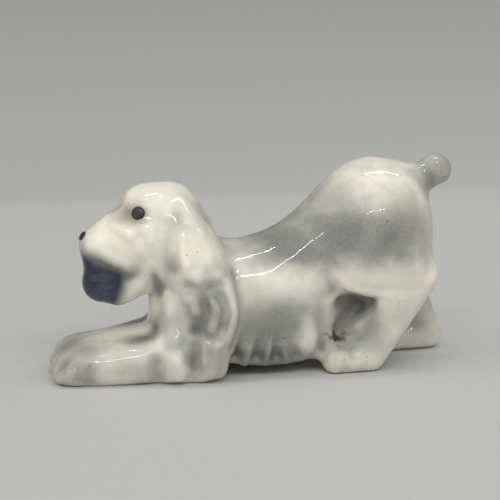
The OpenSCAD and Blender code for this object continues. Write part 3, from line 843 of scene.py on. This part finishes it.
def spray_shade_and_light(graph, tone, place, blown):
    """The grey sprayed on under the glaze with its fine grain, and painted shade; then cream where the
    spray left it clean, and painted light.
    """
    grey = 0.0
    for spot in SPRAYED_AND_SHADED:
        grey = graph.maths("MAXIMUM", grey, graph.spot(blown, spot))
    grain = graph.maths("MULTIPLY", graph.cloud(place, *GRAIN_CLOUD), GRAIN_SHARE)
    grey = graph.maths("MULTIPLY", grey, graph.maths("ADD", grain, 1 - GRAIN_SHARE))
    tone = graph.wash(tone, AIRBRUSH_AND_SHADE_GREY, grey)
    for spot in CLEAN_AND_LIT:
        tone = graph.wash(tone, CREAM, graph.spot(blown, spot))
    return tone


def pool_and_shade(graph, tone):
    """Grey where the glaze pools and painted shade in the hollows, and cream as painted light on the
    ridges.
    """
    hollow = graph.add("ShaderNodeAttribute", attribute_name="hollow").outputs["Fac"]
    for start, full, share, paint in RELIEF_PAINTS:
        tone = graph.wash(tone, paint, graph.fade(hollow, start, full), share)
    return tone


def soil_light_and_shade(graph, tone, place, blown):
    """Painted light on the foreleg tops, darker grey in the dips, brown, painted shade at the fringe's foot
    and painted shadow in the pocket, the grime of the pocket, and dark specks.
    """
    either_side = graph.mirrored(blown)
    for patches, paint in ((LIT_TOPS, CREAM), (DIP_GREYS, DIP_GREY)):
        for middle, halves, strength in patches:
            shrink = tuple(1 / half for half in halves)
            tone = graph.wash(tone, paint, graph.oval(either_side, middle, shrink, strength))
    for spot in POUCHES:
        tone = graph.wash(tone, BROWNISH, graph.spot(place, spot))
    tone = graph.wash(tone, POOLED_AND_SHADE_GREY, graph.spot(place, FRINGE_SHADE))
    tone = graph.wash(tone, BROWNISH, graph.spot(blown, POCKET_BROWN))
    tone = graph.wash(tone, POOLED_AND_SHADE_GREY, graph.spot(blown, POCKET_SHADOW))
    tone = graph.wash(tone, GRIME, graph.spot(blown, POCKET), graph.cloud(place, *DIRT_CLOUD))
    return graph.wash(tone, GRIME, graph.cloud(place, *SPECK_CLOUD), SPECK_SHARE)


def blue(graph, tone, place, drift):
    """Cobalt from the lip down to the chin."""
    blown = graph.vector("ADD", place, graph.vector("MULTIPLY", drift, (BLUE_DRIFT, 0, BLUE_DRIFT)))
    at = graph.split(blown)
    along_lip = graph.maths("MULTIPLY", graph.maths("SUBTRACT", at["X"], BLUE_FRONT * MM), BLUE_SLOPE)
    lip = graph.maths("ADD", at["Z"], along_lip)
    under = graph.fade(lip, (BLUE_TOP + BLUE_FADE) * MM, (BLUE_TOP - BLUE_FADE) * MM)
    chin = graph.maths("SUBTRACT", at["X"], graph.maths("MULTIPLY", at["Z"], BLUE_LEAN))
    before = graph.fade(chin, (BLUE_BACK + BLUE_BACK_FADE) * MM, (BLUE_BACK - BLUE_BACK_FADE) * MM)
    above = graph.fade(at["Z"], (BLUE_LOW - BLUE_LOW_FADE) * MM, BLUE_LOW * MM)
    paint = graph.mix(graph.cloud(place, *BLUE_CLOUD), COBALT, COBALT_THIN)
    return graph.wash(tone, paint, graph.maths("MULTIPLY", under, before), above)


# Ripples in the glaze, and its finish
RIPPLE_SIZE, RIPPLE_DETAIL, RIPPLE_DEPTH = 1.6 * MM, 1, 0.02 * MM
GLAZE_ROUGHNESS, GLAZE_INDEX = 0.045, 1.52
# Black enamel
ENAMEL_BLACK = colour(34, 29, 29)
ENAMEL_BROWN = colour(58, 50, 46)
ENAMEL_CLOUD = (0.8 * MM, 2, 0.3, 0.8)
ENAMEL_ROUGHNESS = 0.28


def porcelain_group():
    """The colour of the glaze at each place, with its painted shade and light, and its small ripples."""
    group = bpy.data.node_groups.new("porcelain", "ShaderNodeTree")
    group.interface.new_socket("Color", in_out="OUTPUT", socket_type="NodeSocketColor")
    group.interface.new_socket("Ripple", in_out="OUTPUT", socket_type="NodeSocketFloat")
    graph = Graph(group)
    place = graph.add("ShaderNodeTexCoord").outputs["Object"]
    drift = graph.vector("SUBTRACT", graph.noise(place, DRIFT_SIZE)["Color"], (NOISE_MEAN,) * 3)
    blown = graph.vector("ADD", place, graph.vector("MULTIPLY", drift, (DRIFT_REACH,) * 3))
    tone = ground(graph, place)
    tone = spray_shade_and_light(graph, tone, place, blown)
    tone = pool_and_shade(graph, tone)
    tone = soil_light_and_shade(graph, tone, place, blown)
    tone = blue(graph, tone, place, drift)
    out = graph.add("NodeGroupOutput")
    graph.feed(out.inputs["Color"], tone)
    graph.feed(out.inputs["Ripple"], graph.noise(place, RIPPLE_SIZE, RIPPLE_DETAIL)["Fac"])
    return group


def new_material(name):
    material = bpy.data.materials.new(name)
    material.use_nodes = True
    return Graph(material.node_tree), material.node_tree.nodes["Principled BSDF"], material


def glaze(name, group):
    graph, shader, material = new_material(name)
    porcelain = graph.add("ShaderNodeGroup", node_tree=group)
    graph.feed(shader.inputs["Base Color"], porcelain.outputs["Color"])
    shader.inputs["Roughness"].default_value = GLAZE_ROUGHNESS
    shader.inputs["IOR"].default_value = GLAZE_INDEX
    bump = graph.add("ShaderNodeBump")
    bump.inputs["Distance"].default_value = RIPPLE_DEPTH
    graph.feed(bump.inputs["Height"], porcelain.outputs["Ripple"])
    graph.feed(shader.inputs["Normal"], bump.outputs["Normal"])
    return material


def enamel(name):
    graph, shader, material = new_material(name)
    place = graph.add("ShaderNodeTexCoord").outputs["Object"]
    tone = graph.mix(graph.cloud(place, *ENAMEL_CLOUD), ENAMEL_BLACK, ENAMEL_BROWN)
    graph.feed(shader.inputs["Base Color"], tone)
    shader.inputs["Roughness"].default_value = ENAMEL_ROUGHNESS
    return material


porcelain = porcelain_group()
glazes = {"white_glaze": glaze("white_porcelain", porcelain), "blue_glaze": glaze("blue_ball", porcelain)}
black_enamel = enamel("painted_enamel")

for name, piece in pieces.items():
    slot = "blue_glaze" if name == "mouth_ball" else "white_glaze"
    piece.data.materials.append(glazes[slot])
    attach(piece, "root")
    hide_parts(name)
for name, drop in drops.items():
    drop.data.materials.append(black_enamel)
    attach(drop, "root")
    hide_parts(name)


# Stage: a paper floor, a little darker at the back
FLOOR_SIZE = 4000 * MM
FLOOR_PALE = colour(205, 205, 204)
FLOOR_FAR = colour(196, 197, 197)
FLOOR_EDGE, FLOOR_EDGE_END = 148 * MM, 162 * MM
FIBRE = colour(120, 120, 118)
FIBRE_CLOUD, FIBRE_SHARE = (1.5 * MM, 4, 0.3, 0.8), 0.06
FLOOR_ROUGHNESS = 0.75
# Light tubes in metres: place, what it faces, length and width; and power in watts
TUBES = {
    "overhead_tube": ((0.14, 0.02, 0.6), (0.14, 0, 0), (0.46, 0.008), 0.6),
    "front_tube": ((0.02, -0.41, 0.46), (0.02, 0, 0.015), (0.62, 0.010), 0.7),
}
# The room: the direction of its window, and its light away from the window and towards it
WINDOW = (-0.44, -0.80, 0.41)
ROOM_DIM = colour(132, 132, 130)
ROOM_BRIGHT = colour(255, 255, 250)
ROOM_FADE = (-0.2, 1.0)
ROOM_STRENGTH = 1.01


def lay_floor():
    bpy.ops.object.select_all(action="DESELECT")
    bpy.ops.mesh.primitive_plane_add(size=FLOOR_SIZE)
    floor = bpy.context.object
    floor.name = "floor"
    graph, shader, material = new_material("floor_paper")
    place = graph.add("ShaderNodeTexCoord").outputs["Object"]
    back = graph.fade(graph.split(place)["Y"], FLOOR_EDGE, FLOOR_EDGE_END)
    tone = graph.mix(back, FLOOR_PALE, FLOOR_FAR)
    tone = graph.wash(tone, FIBRE, graph.cloud(place, *FIBRE_CLOUD), FIBRE_SHARE)
    graph.feed(shader.inputs["Base Color"], tone)
    shader.inputs["Roughness"].default_value = FLOOR_ROUGHNESS
    floor.data.materials.append(material)


def hang_light(name, place, towards, size, power):
    bpy.ops.object.light_add(type="AREA", location=place)
    light = bpy.context.object
    light.name = name
    light.data.shape = "RECTANGLE"
    light.data.size, light.data.size_y = size
    light.data.energy = power
    light.rotation_euler = (Vector(towards) - Vector(place)).to_track_quat("-Z", "Y").to_euler()
    light.visible_camera = False


def light_room():
    """A soft room that is brighter towards its window."""
    world = bpy.data.worlds.new("room")
    bpy.context.scene.world = world
    world.use_nodes = True
    graph = Graph(world.node_tree)
    towards = graph.add("ShaderNodeVectorMath", operation="DOT_PRODUCT")
    graph.feed(towards.inputs[0], graph.add("ShaderNodeTexCoord").outputs["Generated"])
    towards.inputs[1].default_value = WINDOW
    light = graph.mix(graph.fade(towards.outputs["Value"], *ROOM_FADE), ROOM_DIM, ROOM_BRIGHT)
    background = world.node_tree.nodes["Background"]
    graph.feed(background.inputs["Color"], light)
    background.inputs["Strength"].default_value = ROOM_STRENGTH


lay_floor()
for name, tube in TUBES.items():
    hang_light(name, *tube)
light_room()

bpy.context.scene.view_settings.view_transform = "Standard"
